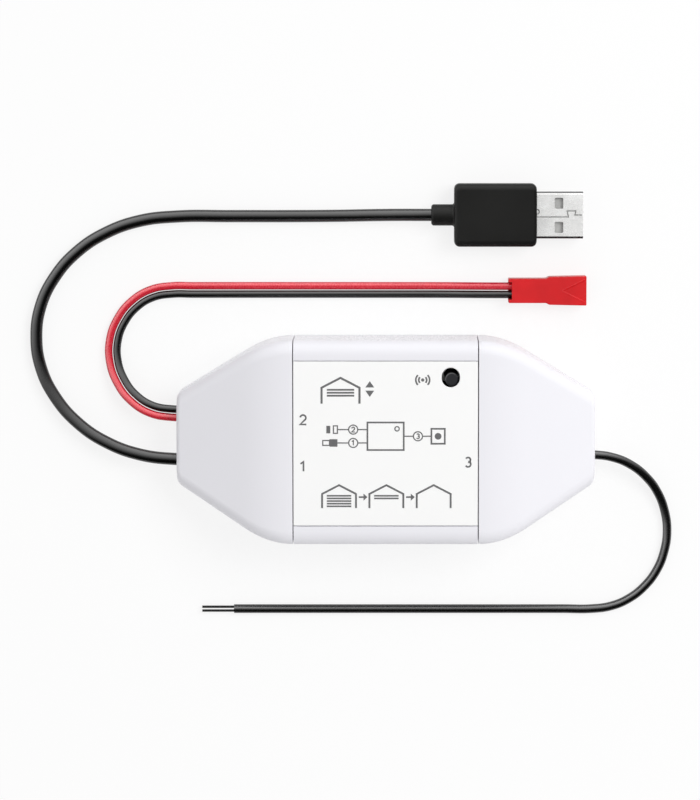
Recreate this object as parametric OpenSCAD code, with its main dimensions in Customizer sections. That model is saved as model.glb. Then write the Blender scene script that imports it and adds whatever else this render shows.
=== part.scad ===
// Garage door controller: a white housing with tapered end caps, a push button and three fixed cords.
// It lies on its back, in millimetres: X along the housing, Y across it, Z up through the front face.

/* [Housing] */
// Overall length
body_l = 107.4; // [106:0.2:109]
// Overall width
body_w = 52; // [50:0.5:54]
// Overall thickness
body_t = 25; // [24:0.5:27]
// Length between the two seams
mid_l = 47; // [45:0.5:49]
// Wall thickness
wall = 2; // [1.8:0.1:2.2]
// Radius of the long front edges
front_r = 3.5; // [2.6:0.1:4]
// Radius of the long back edges
back_r = 1.2; // [0.8:0.1:1.6]
// Gap at each seam
seam_gap = 0.25; // [0.2:0.05:0.5]
// Height of the parting line between base and cover
split_z = 8; // [7:0.5:9]

/* [End caps] */
// Width of the flat end before its corners are rounded
cap_end_w = 23; // [22:0.2:25]
// Thickness at the flat end
cap_end_t = 13; // [12:0.5:15]
// Length of the curved shoulder beside the seam
shoulder_l = 12.5; // [10:0.5:14]
// Radius of the end's two corners seen from the front
end_corner_r = 1.3; // [1:0.1:2]
// Radius of the end's front and back edges
end_edge_r = 1; // [0.6:0.1:1.2]

/* [Label panel and button] */
// Distance between the two grooves beside the panel
panel_w = 42; // [40:0.5:44]
// Thickness of the panel
panel_t = 0.8; // [0.6:0.1:1]
// Width of the two grooves
groove_w = 0.25; // [0.15:0.05:0.4]
// Width of the button's hole in the panel
hole_w = 4.6; // [4.5:0.1:4.8]
// Length of the button's hole across the housing
hole_l = 5; // [5:0.1:5.4]
// Diameter of the plunger
plunger_d = 3.4; // [3.2:0.1:3.4]
// Travel of the plunger
travel = 0.25; // [0.2:0.05:0.3]

/* [Cords] */
// Height of the cord exits
exit_z = 6.5; // [6:0.1:7]
// Diameter of the power cord
power_d = 3.2; // [3:0.1:3.4]
// Diameter of each sensor wire
sensor_d = 2; // [1.8:0.1:2]
// Distance between the centres of the two sensor wires
sensor_pitch = 2.15; // [2.05:0.05:2.15]
// Diameter of the signal cable
signal_d = 2.3; // [1.9:0.1:2.3]
// Diameter of the signal cable's cores
core_d = 0.64; // [0.5:0.02:0.8]

/* [Plugs] */
// Length of the power plug's grip
grip_l = 21.2; // [20:0.2:24]
// Width of the grip
grip_w = 16.2; // [15:0.2:17]
// Thickness of the grip
grip_t = 8; // [7.6:0.2:9]
// Length of the plug's metal shell outside the grip
shell_l = 11.9; // [11.7:0.1:12]
// Length of the sensor connector
connector_l = 20.1; // [19:0.1:21]

/* [Hidden] */
$fn = 64;
cut = 1;                          // how far a cut runs past the faces that it opens
slip = 0.1;                       // clearance between fixed pieces
mid_x = mid_l / 2 - seam_gap / 2; // end of the centre section
cap_x = mid_l / 2 + seam_gap / 2; // start of a cap
cap_l = body_l / 2 - cap_x;
half_w = body_w / 2;
corner_min_r = 0.6;

// End caps: width and height fall along a curved shoulder and then on a straight slope
side_slope = (half_w - cap_end_w / 2) / (cap_l - shoulder_l / 2);
front_slope = (body_t - cap_end_t) / (cap_l - shoulder_l / 2);
corner_steps = 6;
shoulder_steps = 6;
end_steps = 5;

// Inner lip, ribs and spigots that the caps slide over
split_gap = 0.2;
lip_t = 1;
lip_h = 2;
lip_root = 3;
rib_l = 1.8;
spigot_l = 6.5;
spigot_out = 3.2;
spigot_in = 4.4;

// Screws: head diameter, head height, shank diameter
cap_screw = [4.4, 1.05, 2];
board_screw = [3.8, 1.4, 1.6];
clamp_screw = [3.6, 1.3, 1.6];
recess_l = 2.2;
recess_w = 0.5;
recess_depth = 0.6;
cap_screw_x = 27.5;
cap_screw_y = 17;
cap_screw_top = 8;
cap_head_z = 0.1;
cap_boss_top = 9.5;
boss_d = 5.4;

// Circuit board
board_z = 6;
board_t = 1.6;
board_top = board_z + board_t;
board_size = [42.8, 42];
tongue_size = [62, 26];
board_screw_at = [[-18.5, -18], [18.5, -18], [-18.5, 18], [8.5, 18.5]];
post_d = 5;
pin_hole_d = 1.1;

// Button and its switch
hole_at = [16.5, 16.8];
plunger_at = [16.75, 16.35];
plunger_top = 24.9;
plunger_chamfer = 0.3;
guide_d = 5.8;
guide_bore = [4.5, 4.9];
guide_low = 13;
guide_flange = [8, 1.1];
switch_w = 6;
switch_h = 3.2;
switch_floor = 1;
switch_well_d = 4.9;
frame_t = 0.25;
frame_clip = [3, 2];
shaft_gap = 0.1;
flange_d = 4.5;
flange_h = 0.6;
nub_d = 1.4;
dome_r = 2.2;
dome_pressed_h = 0.35;
dome_h = dome_pressed_h + travel;
dome_t = 0.1;
dome_lift = 0.05;
dome_gap = 0.02;
switch_top = board_top + switch_h;
dome_z = board_top + switch_floor + dome_lift;
terminal_at = [[-3.15, -2.25], [3.15, -2.25], [-3.15, 2.25], [3.15, 2.25]];
terminal_size = [0.3, 0.7, 3.4];
terminal_low = 5;

// Plug-in ends of the leads: side of the board and position across it
power_y = -5.8;
sensor_y = 6.1;
signal_y = -4.7;
lead_at = [[-1, power_y], [-1, sensor_y], [1, signal_y]];
lead_z = board_top + 2.8;
lead_pitch = 2.5;
header_x = [23.5, 25, 31];
header_w = 8;
header_h = 5.6;
header_wall = 0.6;
plug_x = [25.2, 34];
plug_size = [6.4, 4.2];
pin_w = 0.64;
pin_x = [22.6, 29];
pin_low = 5;
socket_w = 0.84;
socket_x = 29.4;
lead_pins = [for (lead = lead_at, s = [-1, 1]) [lead[0], lead[1] + s * lead_pitch / 2]];

// Cord clamps inside the caps
clamp_x = [41.5, 46.5];
clamp_t = 2.6;
clamp_gap = 0.2;
clamp_low = 1;
left_clamp_y = [-13, 13];
left_clamp_screw_y = [-11, 11];
right_clamp_y = [-12.5, 3.5];
right_clamp_screw_y = [-10.3, 1.2];
cord_slip = 0.1;
pilot_slip = 0.05;

// Parts on the board: size, then position of the centre
wifi_size = [16, 24, 0.8];
wifi_at = [-7, 8];
shield_size = [12, 15, 2.4];
shield_at = [-7, 5];
shield_t = 0.2;
antenna_x = [-13.5, -0.5];
antenna_y = [14, 19];
antenna_bars = 7;
antenna_w = 0.7;
antenna_t = 0.1;
relay_size = [6.4, 8.8, 3.4];
relay_at = [12, -6];
relay_pitch = 2.54;
lead_size = [1.4, 0.9, 0.3];
regulator_size = [6.5, 3.5, 1.7];
regulator_at = [-11, -12];
regulator_pitch = 2.3;
tab_size = [3, 1.6, 0.3];
can_d = 6.3;
can_h = 5.4;
can_base = [6.6, 6.6, 0.9];
can_groove = [0.25, 0.8];
can_groove_z = 1.2;
can_at = [[-0.5, -15], [7, -16]];
led_size = [3.5, 2.8, 1.9];
led_at = [9.5, 12.6];
resistor_size = [1.6, 0.8, 0.45];
resistor_at = [4.5, 3.5];
resistor_step = 2.4;
resistors = 6;
capacitor_size = [0.8, 1.6, 0.8];
capacitor_at = [-18.5, -8];
capacitor_step = 3;
capacitors = 6;

// Power plug
plug_y = 57.1;
plug_z = 4;
collar_x = 11.7;
grip_x = 17.6;
collar_d = 5.5;
grip_corner_r = 1.4;
grip_edge_r = 1.6;
usb_size = [12, 4.5];
usb_r = 0.6;
usb_t = 0.3;
usb_held = 5.7;
usb_x = grip_x + grip_l;
usb_tip = usb_x + shell_l;
window_x = 44.5;
window_y = 3.1;
window_size = [2.2, 2.8];
window_r = 0.35;
slit_w = 0.3;
slit_path = [[usb_x, -0.45], [46.9, -0.45], [46.6, 1.1], [48.8, 1.1], [48.6, 0.05], [usb_tip, 0.05]];
relief_r = 0.6;
relief_y = 0.9;
tongue_t = 1.8;
tongue_end = 0.3;
pocket_depth = 0.8;
tongue_block = 4.5;
contact_at = [[-3.5, 1.2], [-1, 2.2], [1, 2.2], [3.5, 1.2]];
contact_w = 1;
contact_t = 0.15;

// Sensor connector
connector_x = 31.6;
connector_y = 37.6;
connector_h = 5.6;
connector_z = connector_h / 2;
connector_end = connector_x + connector_l;
connector_rear = [9.7, 6.3];
connector_step = 0.8;
connector_front = [7.2, 7.6];
mouth_size = [6.1, 4.2];
mouth_x = 43.6;
wire_end_x = 35;
notch_x = 32.5;
notch_w = 4.5;
arrow_x = 45.3;
arrow_w = 6.8;
arrow_tilt = 3;
contact_d = 0.9;
contact_x = [37.5, 50];

// Routes of the cords, from inside the housing to the free end
power_route = [
    [-41, -5.8, 6.5], [-54, -5.8, 6.5], [-63.4, -4.7, 6], [-72.2, -1.6, 4.9], [-79.7, 3.3, 3.5],
    [-85.5, 9.8, 2.4], [-89.2, 17.3, 1.8], [-90.4, 25.4, 1.7], [-89.2, 33.5, 1.7], [-85.5, 41, 1.7],
    [-79.7, 47.5, 1.7], [-72.2, 52.4, 1.7], [-63.4, 55.5, 1.7], [-54, 56.6, 1.7], [-40, 56.7, 1.7],
    [-25, 56.7, 1.7], [-12, 56.8, 1.9], [-3, 57, 2.7], [4, 57.1, 3.6], [8.7, 57.1, 4], [11.7, 57.1, 4]
];
sensor_route = [
    [-34, 6.1, 10.4], [-34.7, 6.1, 10.4], [-36.4, 6.1, 9.8], [-38.1, 6.1, 8.4], [-39.8, 6.1, 7],
    [-41.5, 6.1, 6.5], [-55.1, 6.1, 6.5], [-60.4, 7, 5.9], [-65.1, 9.8, 4.6], [-68.5, 14, 3],
    [-70.4, 19.1, 1.6], [-70.4, 24.6, 1.1], [-68.5, 29.7, 1.1], [-65.1, 33.9, 1.1], [-60.4, 36.7, 1.1],
    [-55.1, 37.6, 1.1], [-50, 37.6, 1.1], [4, 37.6, 1.1], [15, 37.6, 1.3], [24, 37.6, 2.3],
    [31, 37.6, 2.8], [35, 37.6, 2.8]
];
signal_route = [
    [41, -4.7, 6.5], [54, -4.7, 6.5], [58.6, -5.4, 6.1], [63.3, -7.4, 5.1], [67.4, -10.7, 3.8],
    [70.5, -14.9, 2.4], [72.4, -19.8, 1.5], [73.1, -25.1, 1.2], [72.4, -30.4, 1.2], [70.5, -35.3, 1.2],
    [67.4, -39.5, 1.2], [63.3, -42.8, 1.2], [58.6, -44.8, 1.2], [53.5, -45.5, 1.2], [46, -45.5, 1.2],
    [-39.5, -45.5, 1.2]
];
core_end_x = -47.8;
core_gap = 1;
cord_sides = 8;

// Cores of the jacketed cords between clamp and plug: distance along X, height, spread
inner_core_d = 1.1;
inner_route = [
    [41, 6.5, 0.7], [40.2, 6.5, 0.7], [38.6, 7.4, 0.85], [37, 9.4, 1.1], [35.2, 10.4, 1.25], [34, 10.4, 1.25]
];

// Geometry helpers

function unit(v) = v / norm(v);

// Direction of a route at its point i
function heading(route, i) = unit(route[min(i + 1, len(route) - 1)] - route[max(i - 1, 0)]);

// Level direction to the left of the route at its point i
function leftward(route, i) = unit(cross([0, 0, 1], heading(route, i)));

// The same route moved sideways by a level distance
function beside(route, shift) = [for (i = [0 : len(route) - 1]) route[i] + shift * leftward(route, i)];

// One ring of points square to the route
function ring(route, i, r) =
    let (side = leftward(route, i), rise = cross(heading(route, i), side))
    [for (k = [0 : cord_sides - 1])
        route[i] + r * (cos(360 * k / cord_sides) * side + sin(360 * k / cord_sides) * rise)];

// Closed skin over a row of sections that all have the same number of points
module skin(sections) {
    n = len(sections[0]);
    last = len(sections) - 1;
    sides = [for (i = [0 : last - 1], k = [0 : n - 1])
        let (a = i * n + k, b = i * n + (k + 1) % n)
        each [[a, a + n, b + n], [a, b + n, b]]];
    start = [for (k = [0 : n - 1]) k];
    end = [for (k = [n - 1 : -1 : 0]) last * n + k];
    polyhedron([for (section = sections) each section], concat(sides, [start, end]), 10);
}

module tube(route, d) {
    skin([for (i = [0 : len(route) - 1]) ring(route, i, d / 2)]);
}

// Extrudes a section drawn in Y and Z from one X to another
module along_x(x0, x1) {
    translate([x0, 0, 0]) rotate([90, 0, 90]) linear_extrude(x1 - x0) children();
}

module rod_x(x0, x1, y, z, d) {
    translate([x0, y, z]) rotate([0, 90, 0]) cylinder(d = d, h = x1 - x0);
}

// Box from its low corner to its high corner
module span(low, high) {
    translate(low) cube(high - low);
}

// Box that stands on a height, centred on a point
module block(at, z, size) {
    translate([at[0] - size[0] / 2, at[1] - size[1] / 2, z]) cube(size);
}

module both_ends() {
    children();
    mirror([1, 0, 0]) children();
}

module side(s) {
    mirror([s < 0 ? 1 : 0, 0, 0]) children();
}

// Screw with its head's underside at z = 0, head up and shank down
module screw(size, shank_l) {
    difference() {
        cylinder(d = size[0], h = size[1]);
        for (a = [0, 90])
            rotate(a) block([0, 0], size[1] - recess_depth, [recess_l, recess_w, recess_depth + cut]);
    }
    translate([0, 0, -shank_l]) cylinder(d = size[2], h = shank_l);
}

// Centre section of the housing

module rounded_section(half, low, top, front, back) {
    translate([-half, low + back]) square([2 * half, top - front - low - back]);
    translate([-half + back, low]) square([2 * (half - back), top - front - low]);
    translate([-half + front, low + back]) square([2 * (half - front), top - low - back]);
    for (s = [-1, 1]) {
        translate([s * (half - front), top - front]) circle(front);
        translate([s * (half - back), low + back]) circle(back);
    }
}

module body_section(inset) {
    rounded_section(half_w - inset, inset, body_t - inset,
        max(front_r - inset, corner_min_r), max(back_r - inset, corner_min_r));
}

// Wall between two insets, above or below the parting line
module half_ring(outer, inner, upper) {
    intersection() {
        difference() {
            body_section(outer);
            body_section(inner);
        }
        if (upper)
            translate([-half_w, split_z + split_gap / 2]) square([body_w, body_t]);
        else
            translate([-half_w, split_z - split_gap / 2 - body_t]) square([body_w, body_t]);
    }
}

// Wall of one half, with a rib and a spigot at both ends
module half_shell(upper) {
    along_x(-mid_x, mid_x) half_ring(0, wall, upper);
    both_ends() {
        along_x(mid_x - rib_l, mid_x) half_ring(wall / 2, spigot_in, upper);
        along_x(mid_x - rib_l, mid_x + spigot_l) half_ring(spigot_out, spigot_in, upper);
    }
}

module front_cover() {
    recess_w = panel_w + groove_w;
    color("white") difference() {
        half_shell(true);
        span([-mid_x - cut, -recess_w / 2, body_t - panel_t], [mid_x + cut, recess_w / 2, body_t + cut]);
        translate([hole_at[0], hole_at[1], body_t - wall - cut])
            cylinder(d = guide_d + slip, h = wall + 2 * cut);
    }
}

module label_panel() {
    face_w = panel_w - groove_w;
    color("snow") difference() {
        span([-mid_x, -face_w / 2, body_t - panel_t], [mid_x, face_w / 2, body_t]);
        translate([hole_at[0], hole_at[1], body_t - panel_t - cut])
            linear_extrude(panel_t + 2 * cut) round_slot(hole_w, hole_l);
    }
}

module rear_base() {
    lip_out = half_w - wall - slip;
    lip_in = lip_out - lip_t;
    lip_x = mid_x - rib_l;
    pilot = board_screw[2] + slip;
    boss_pilot = cap_screw[2] + slip;
    color("white") difference() {
        union() {
            half_shell(false);
            for (s = [0, 1]) mirror([0, s, 0]) {
                span([-lip_x, lip_in, split_z - lip_root],
                    [lip_x, half_w - wall / 2, split_z - split_gap / 2]);
                span([-lip_x, lip_in, split_z - lip_root], [lip_x, lip_out, split_z + lip_h]);
            }
            for (at = board_screw_at)
                translate([at[0], at[1], wall / 2]) cylinder(d = post_d, h = board_z - wall / 2);
            for (x = [-1, 1], y = [-1, 1])
                translate([x * cap_screw_x, y * cap_screw_y, spigot_out])
                    cylinder(d = boss_d, h = cap_boss_top - spigot_out);
        }
        for (at = board_screw_at)
            translate([at[0], at[1], wall]) cylinder(d = pilot, h = board_z - wall + cut);
        for (x = [-1, 1], y = [-1, 1])
            translate([x * cap_screw_x, y * cap_screw_y, spigot_out - cut])
                cylinder(d = boss_pilot, h = cap_screw_top + slip - spigot_out + cut);
    }
}

module cap_screws() {
    color("silver") for (x = [-1, 1], y = [-1, 1])
        translate([x * cap_screw_x, y * cap_screw_y, cap_head_z + cap_screw[1]]) mirror([0, 0, 1])
            screw(cap_screw, cap_screw_top - cap_head_z - cap_screw[1]);
}

// End caps

// Fall of a face at distance u from the seam
function fall(u, slope) =
    slope * (u < shoulder_l ? pow(max(u, 0), 2) / (2 * shoulder_l) : u - shoulder_l / 2);

// Inward step of a rounded end edge at distance v from the end
function end_round(v, r) = v >= r ? 0 : r - sqrt(r * r - pow(r - v, 2));

function arc(y, z, r, from) = [for (i = [0 : corner_steps])
    let (a = from + 90 * i / corner_steps) [y + r * cos(a), z + r * sin(a)]];

function cap_outline(half, low, top, front, back) = concat(
    arc(half - back, low + back, back, -90), arc(half - front, top - front, front, 0),
    arc(front - half, top - front, front, 90), arc(back - half, low + back, back, 180));

function cap_section(u, inset) =
    let (
        v = cap_l - u - inset,
        in_y = inset + end_round(v, end_corner_r),
        in_z = inset + end_round(v, end_edge_r)
    )
    [for (p = cap_outline(half_w - fall(u, side_slope) - in_y, in_z, body_t - fall(u, front_slope) - in_z,
            max(front_r - inset, corner_min_r), max(back_r - inset, corner_min_r)))
        [cap_x + u, p[0], p[1]]];

// Distances from the seam at which a cap's sections stand
function cap_stations(first, inset) = concat(
    [for (i = [0 : shoulder_steps]) i == 0 ? first : i * shoulder_l / shoulder_steps],
    [for (i = [1, 2]) shoulder_l + i * (cap_l - inset - end_corner_r - shoulder_l) / 3],
    [for (i = [0 : end_steps]) cap_l - inset - end_corner_r * (1 - sin(90 * i / end_steps))]);

module cap_shell() {
    difference() {
        skin([for (u = cap_stations(0, 0)) cap_section(u, 0)]);
        skin([for (u = cap_stations(-cut, wall)) cap_section(u, wall)]);
    }
}

// Cap with the lower half of its cord clamp: cords as [y, diameter]
module cap(cords, clamp_y, screw_y) {
    difference() {
        union() {
            cap_shell();
            span([clamp_x[0], clamp_y[0], clamp_low], [clamp_x[1], clamp_y[1], exit_z - clamp_gap / 2]);
        }
        for (cord = cords) {
            rod_x(body_l / 2 - wall - cut, body_l / 2 + cut, cord[0], exit_z, cord[1] + 2 * cord_slip);
            rod_x(clamp_x[0] - cut, clamp_x[1] + cut, cord[0], exit_z, cord[1] + 2 * cord_slip);
        }
        for (y = screw_y)
            translate([(clamp_x[0] + clamp_x[1]) / 2, y, wall])
                cylinder(d = clamp_screw[2] + 2 * pilot_slip, h = exit_z);
        for (y = [-1, 1]) translate([cap_screw_x, y * cap_screw_y, 0]) {
            translate([0, 0, -cut]) cylinder(d = cap_screw[2] + 8 * slip, h = wall + 2 * cut);
            translate([0, 0, -cut])
                cylinder(d = cap_screw[0] + 4 * slip, h = cap_head_z + cap_screw[1] + cut);
        }
    }
}

left_cords = [
    [power_y, power_d], [sensor_y - sensor_pitch / 2, sensor_d], [sensor_y + sensor_pitch / 2, sensor_d]
];
right_cords = [[signal_y, signal_d]];

module left_cap() {
    color("ghostwhite") side(-1) cap(left_cords, left_clamp_y, left_clamp_screw_y);
}

module right_cap() {
    color("ghostwhite") cap(right_cords, right_clamp_y, right_clamp_screw_y);
}

// Clamp bar that presses the cords down on the cap's saddle
module clamp_bar(cords, clamp_y, screw_y) {
    low = exit_z + clamp_gap / 2;
    difference() {
        span([clamp_x[0], clamp_y[0], low], [clamp_x[1], clamp_y[1], low + clamp_t]);
        for (cord = cords)
            rod_x(clamp_x[0] - cut, clamp_x[1] + cut, cord[0], exit_z, cord[1] + 2 * cord_slip);
        for (y = screw_y)
            translate([(clamp_x[0] + clamp_x[1]) / 2, y, low - cut])
                cylinder(d = clamp_screw[2] + 6 * slip, h = clamp_t + 2 * cut);
    }
}

module left_cord_clamp() {
    color("dimgray") side(-1) clamp_bar(left_cords, left_clamp_y, left_clamp_screw_y);
}

module right_cord_clamp() {
    color("dimgray") clamp_bar(right_cords, right_clamp_y, right_clamp_screw_y);
}

module clamp_screws() {
    top = exit_z + clamp_gap / 2 + clamp_t;
    x = (clamp_x[0] + clamp_x[1]) / 2;
    shank_l = top - wall - cut;
    color("silver") {
        for (y = left_clamp_screw_y) translate([-x, y, top]) screw(clamp_screw, shank_l);
        for (y = right_clamp_screw_y) translate([x, y, top]) screw(clamp_screw, shank_l);
    }
}

// Button and switch

module button_guide() {
    flange_top = body_t - wall - slip;
    color("black") translate([hole_at[0], hole_at[1], 0]) difference() {
        union() {
            translate([0, 0, guide_low]) cylinder(d = guide_d, h = body_t - panel_t - slip - guide_low);
            translate([0, 0, flange_top - guide_flange[1]])
                cylinder(d = guide_flange[0], h = guide_flange[1]);
        }
        translate([0, 0, guide_low - cut])
            linear_extrude(body_t) round_slot(guide_bore[0], guide_bore[1]);
    }
}

module push_button() {
    dome_top = dome_z + dome_h;
    flange_top = switch_top - slip;
    shaft_top = plunger_top - plunger_chamfer;
    color("dimgray") translate([plunger_at[0], plunger_at[1], 0]) {
        translate([0, 0, dome_top + dome_gap]) cylinder(d = nub_d, h = flange_top - dome_top - dome_gap);
        translate([0, 0, flange_top - flange_h]) cylinder(d = flange_d, h = flange_h);
        translate([0, 0, flange_top - flange_h])
            cylinder(d = plunger_d, h = shaft_top - flange_top + flange_h);
        translate([0, 0, shaft_top])
            cylinder(d1 = plunger_d, d2 = plunger_d - 2 * plunger_chamfer, h = plunger_chamfer);
    }
}

module switch_base() {
    color("black") difference() {
        block(plunger_at, board_top, [switch_w, switch_w, switch_h]);
        translate([plunger_at[0], plunger_at[1], board_top + switch_floor])
            cylinder(d = switch_well_d, h = switch_h);
    }
}

module switch_frame() {
    clip_low = switch_top + frame_t - frame_clip[1];
    color("silver") {
        difference() {
            block(plunger_at, switch_top, [switch_w, switch_w + 2 * frame_t, frame_t]);
            translate([plunger_at[0], plunger_at[1], switch_top - cut])
                cylinder(d = plunger_d + 2 * shaft_gap, h = frame_t + 2 * cut);
        }
        for (s = [-1, 1])
            block(plunger_at + [0, s * (switch_w + frame_t) / 2], clip_low,
                [frame_clip[0], frame_t, frame_clip[1]]);
    }
}

// Snap disc: height of a shallow bowl at radius r
function dome_rise(r) = dome_h * (1 - pow(r / dome_r, 2));

module switch_dome() {
    radii = [for (i = [0 : 5]) dome_r * i / 5];
    upper = [for (r = radii) [r, max(dome_rise(r), dome_t)]];
    lower = [for (i = [5 : -1 : 0]) [radii[i], max(dome_rise(radii[i]) - dome_t, 0)]];
    color("silver") translate([plunger_at[0], plunger_at[1], dome_z])
        rotate_extrude() polygon(concat(upper, lower));
}

module switch_terminals() {
    color("silver") for (at = terminal_at) block(plunger_at + at, terminal_low, terminal_size);
}

// Board and the parts on it

module circuit_board() {
    color("darkgreen") difference() {
        union() {
            block([0, 0], board_z, [board_size[0], board_size[1], board_t]);
            block([0, 0], board_z, [tongue_size[0], tongue_size[1], board_t]);
        }
        for (at = board_screw_at)
            translate([at[0], at[1], board_z - cut])
                cylinder(d = board_screw[2] + 6 * slip, h = board_t + 2 * cut);
        for (at = terminal_at)
            translate([plunger_at[0] + at[0], plunger_at[1] + at[1], board_z - cut])
                cylinder(d = pin_hole_d, h = board_t + 2 * cut);
        for (pin = lead_pins)
            translate([pin[0] * (pin_x[0] + pin_w / 2), pin[1], board_z - cut])
                cylinder(d = pin_hole_d, h = board_t + 2 * cut);
    }
}

module board_screws() {
    color("silver") for (at = board_screw_at)
        translate([at[0], at[1], board_top]) screw(board_screw, board_top - wall - cut);
}

module wifi_board() {
    color("midnightblue") block(wifi_at, board_top, wifi_size);
}

module wifi_shield() {
    z = board_top + wifi_size[2];
    color("silver") difference() {
        block(shield_at, z, shield_size);
        block(shield_at, z - cut, shield_size + [-2 * shield_t, -2 * shield_t, cut - shield_t]);
    }
}

// Printed antenna: upright bars joined at alternate ends
module wifi_antenna() {
    z = board_top + wifi_size[2];
    step = (antenna_x[1] - antenna_x[0] - antenna_w) / (antenna_bars - 1);
    color("goldenrod") for (i = [0 : antenna_bars - 1]) {
        x = antenna_x[0] + i * step;
        span([x, antenna_y[0], z], [x + antenna_w, antenna_y[1], z + antenna_t]);
        if (i < antenna_bars - 1) {
            y = i % 2 == 0 ? antenna_y[1] - antenna_w : antenna_y[0];
            span([x, y, z], [x + step + antenna_w, y + antenna_w, z + antenna_t]);
        }
    }
}

module relay_body() {
    color("black") block(relay_at, board_top, relay_size);
}

module relay_leads() {
    reach = (relay_size[0] + lead_size[0]) / 2;
    color("silver") for (s = [-1, 1], i = [-1 : 1])
        block(relay_at + [s * reach, i * relay_pitch], board_top, lead_size);
}

module regulator_body() {
    color("black") block(regulator_at, board_top, regulator_size);
}

module regulator_leads() {
    color("silver") {
        for (i = [-1 : 1])
            block(regulator_at + [i * regulator_pitch, -(regulator_size[1] + lead_size[0]) / 2], board_top,
                [lead_size[1], lead_size[0], lead_size[2]]);
        block(regulator_at + [0, (regulator_size[1] + tab_size[1]) / 2], board_top, tab_size);
    }
}

module capacitor_cans() {
    color("silver") for (at = can_at)
        translate([at[0], at[1], board_top + can_base[2]]) rotate_extrude() polygon([
            [0, 0], [can_d / 2, 0], [can_d / 2, can_groove_z],
            [can_d / 2 - can_groove[0], can_groove_z + can_groove[1] / 2],
            [can_d / 2, can_groove_z + can_groove[1]], [can_d / 2, can_h], [0, can_h]
        ]);
}

module capacitor_bases() {
    color("black") for (at = can_at) block(at, board_top, can_base);
}

module status_led() {
    color("ivory") block(led_at, board_top, led_size);
}

module smd_resistors() {
    color("black") for (i = [0 : resistors - 1])
        block(resistor_at + [i * resistor_step, 0], board_top, resistor_size);
}

module smd_capacitors() {
    color("tan") for (i = [0 : capacitors - 1])
        block(capacitor_at + [0, i * capacitor_step], board_top, capacitor_size);
}

// Plug-in ends of the leads

module board_headers() {
    color("ivory") for (lead = lead_at) side(lead[0]) translate([0, lead[1], 0]) difference() {
        span([header_x[0], -header_w / 2, board_top], [header_x[2], header_w / 2, board_top + header_h]);
        span([header_x[1], header_wall - header_w / 2, board_top + header_wall],
            [header_x[2] + cut, header_w / 2 - header_wall, board_top + header_h - header_wall]);
        for (s = [-1, 1])
            span([header_x[0] - cut, s * lead_pitch / 2 - socket_w / 2, lead_z - socket_w / 2],
                [header_x[1] + cut, s * lead_pitch / 2 + socket_w / 2, lead_z + socket_w / 2]);
    }
}

module header_pins() {
    half = pin_w / 2;
    color("gold") for (pin = lead_pins) side(pin[0]) translate([0, pin[1], 0]) {
        span([pin_x[0], -half, lead_z - half], [pin_x[1], half, lead_z + half]);
        span([pin_x[0], -half, pin_low], [pin_x[0] + pin_w, half, lead_z + half]);
    }
}

module lead_plugs() {
    color("white") for (lead = lead_at) side(lead[0]) translate([0, lead[1], 0]) difference() {
        span([plug_x[0], -plug_size[0] / 2, lead_z - plug_size[1] / 2],
            [plug_x[1], plug_size[0] / 2, lead_z + plug_size[1] / 2]);
        for (s = [-1, 1])
            span([plug_x[0] - cut, s * lead_pitch / 2 - socket_w / 2, lead_z - socket_w / 2],
                [socket_x, s * lead_pitch / 2 + socket_w / 2, lead_z + socket_w / 2]);
    }
}

// Cores on one side of the board, from the end of the jacket to the lead's plug
module inner_cores(s, y) {
    for (k = [-1, 1])
        tube([for (p = inner_route) [s * p[0], y + k * p[2], p[1]]], inner_core_d);
}

module power_cores() {
    color("firebrick") inner_cores(-1, power_y);
}

module signal_inner_cores() {
    color("dimgray") inner_cores(1, signal_y);
}

// Power cord and its plug

module power_cord() {
    color("black") tube(power_route, power_d);
}

module usb_overmold() {
    color("black") difference() {
        union() {
            rod_x(collar_x, grip_x + cut, plug_y, plug_z, collar_d);
            intersection() {
                translate([grip_x, plug_y, plug_z - grip_t / 2]) linear_extrude(grip_t)
                    translate([grip_l / 2, 0]) rounded_plate(grip_l, grip_w, grip_corner_r);
                along_x(grip_x - cut, usb_x + cut)
                    translate([plug_y, plug_z]) rounded_plate(grip_w, grip_t, grip_edge_r);
            }
        }
        along_x(usb_x - usb_held - slip, usb_x + cut)
            translate([plug_y, plug_z]) rounded_plate(usb_size[0] + slip, usb_size[1] + slip, usb_r);
    }
}

// Band of even width along a path
module line(path, w) {
    for (i = [0 : len(path) - 2]) {
        run = path[i + 1] - path[i];
        translate(path[i]) rotate(atan2(run[1], run[0]))
            translate([-w / 2, -w / 2]) square([norm(run) + w, w]);
    }
}

// Slot with round ends, longer in Y
module round_slot(w, l) {
    square([w, l - w], center = true);
    for (s = [-1, 1])
        translate([0, s * (l - w) / 2]) circle(d = w);
}

// Rounded rectangle round the origin
module rounded_plate(w, h, r) {
    square([w - 2 * r, h], center = true);
    square([w, h - 2 * r], center = true);
    for (x = [-1, 1], y = [-1, 1])
        translate([x * (w / 2 - r), y * (h / 2 - r)]) circle(r);
}

// Curved slit that bulges towards +X
module half_slit(r, w) {
    difference() {
        circle(r + w / 2);
        circle(r - w / 2);
        translate([-2 * r - cut, -r - w]) square([2 * r + cut, 2 * (r + w)]);
    }
}

module usb_shell() {
    top = plug_z + usb_size[1] / 2;
    color("silver") difference() {
        along_x(usb_x - usb_held, usb_tip) translate([plug_y, plug_z]) difference() {
            rounded_plate(usb_size[0], usb_size[1], usb_r);
            rounded_plate(usb_size[0] - 2 * usb_t, usb_size[1] - 2 * usb_t, usb_r - usb_t);
        }
        for (s = [-1, 1])
            translate([window_x, plug_y + s * window_y, plug_z - usb_size[1]]) linear_extrude(2 * usb_size[1])
                rounded_plate(window_size[0], window_size[1], window_r);
        translate([0, plug_y, top - 2 * usb_t]) linear_extrude(2 * usb_t + cut) {
            line(slit_path, slit_w);
            translate([usb_x, relief_y]) half_slit(relief_r, slit_w);
        }
    }
}

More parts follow.
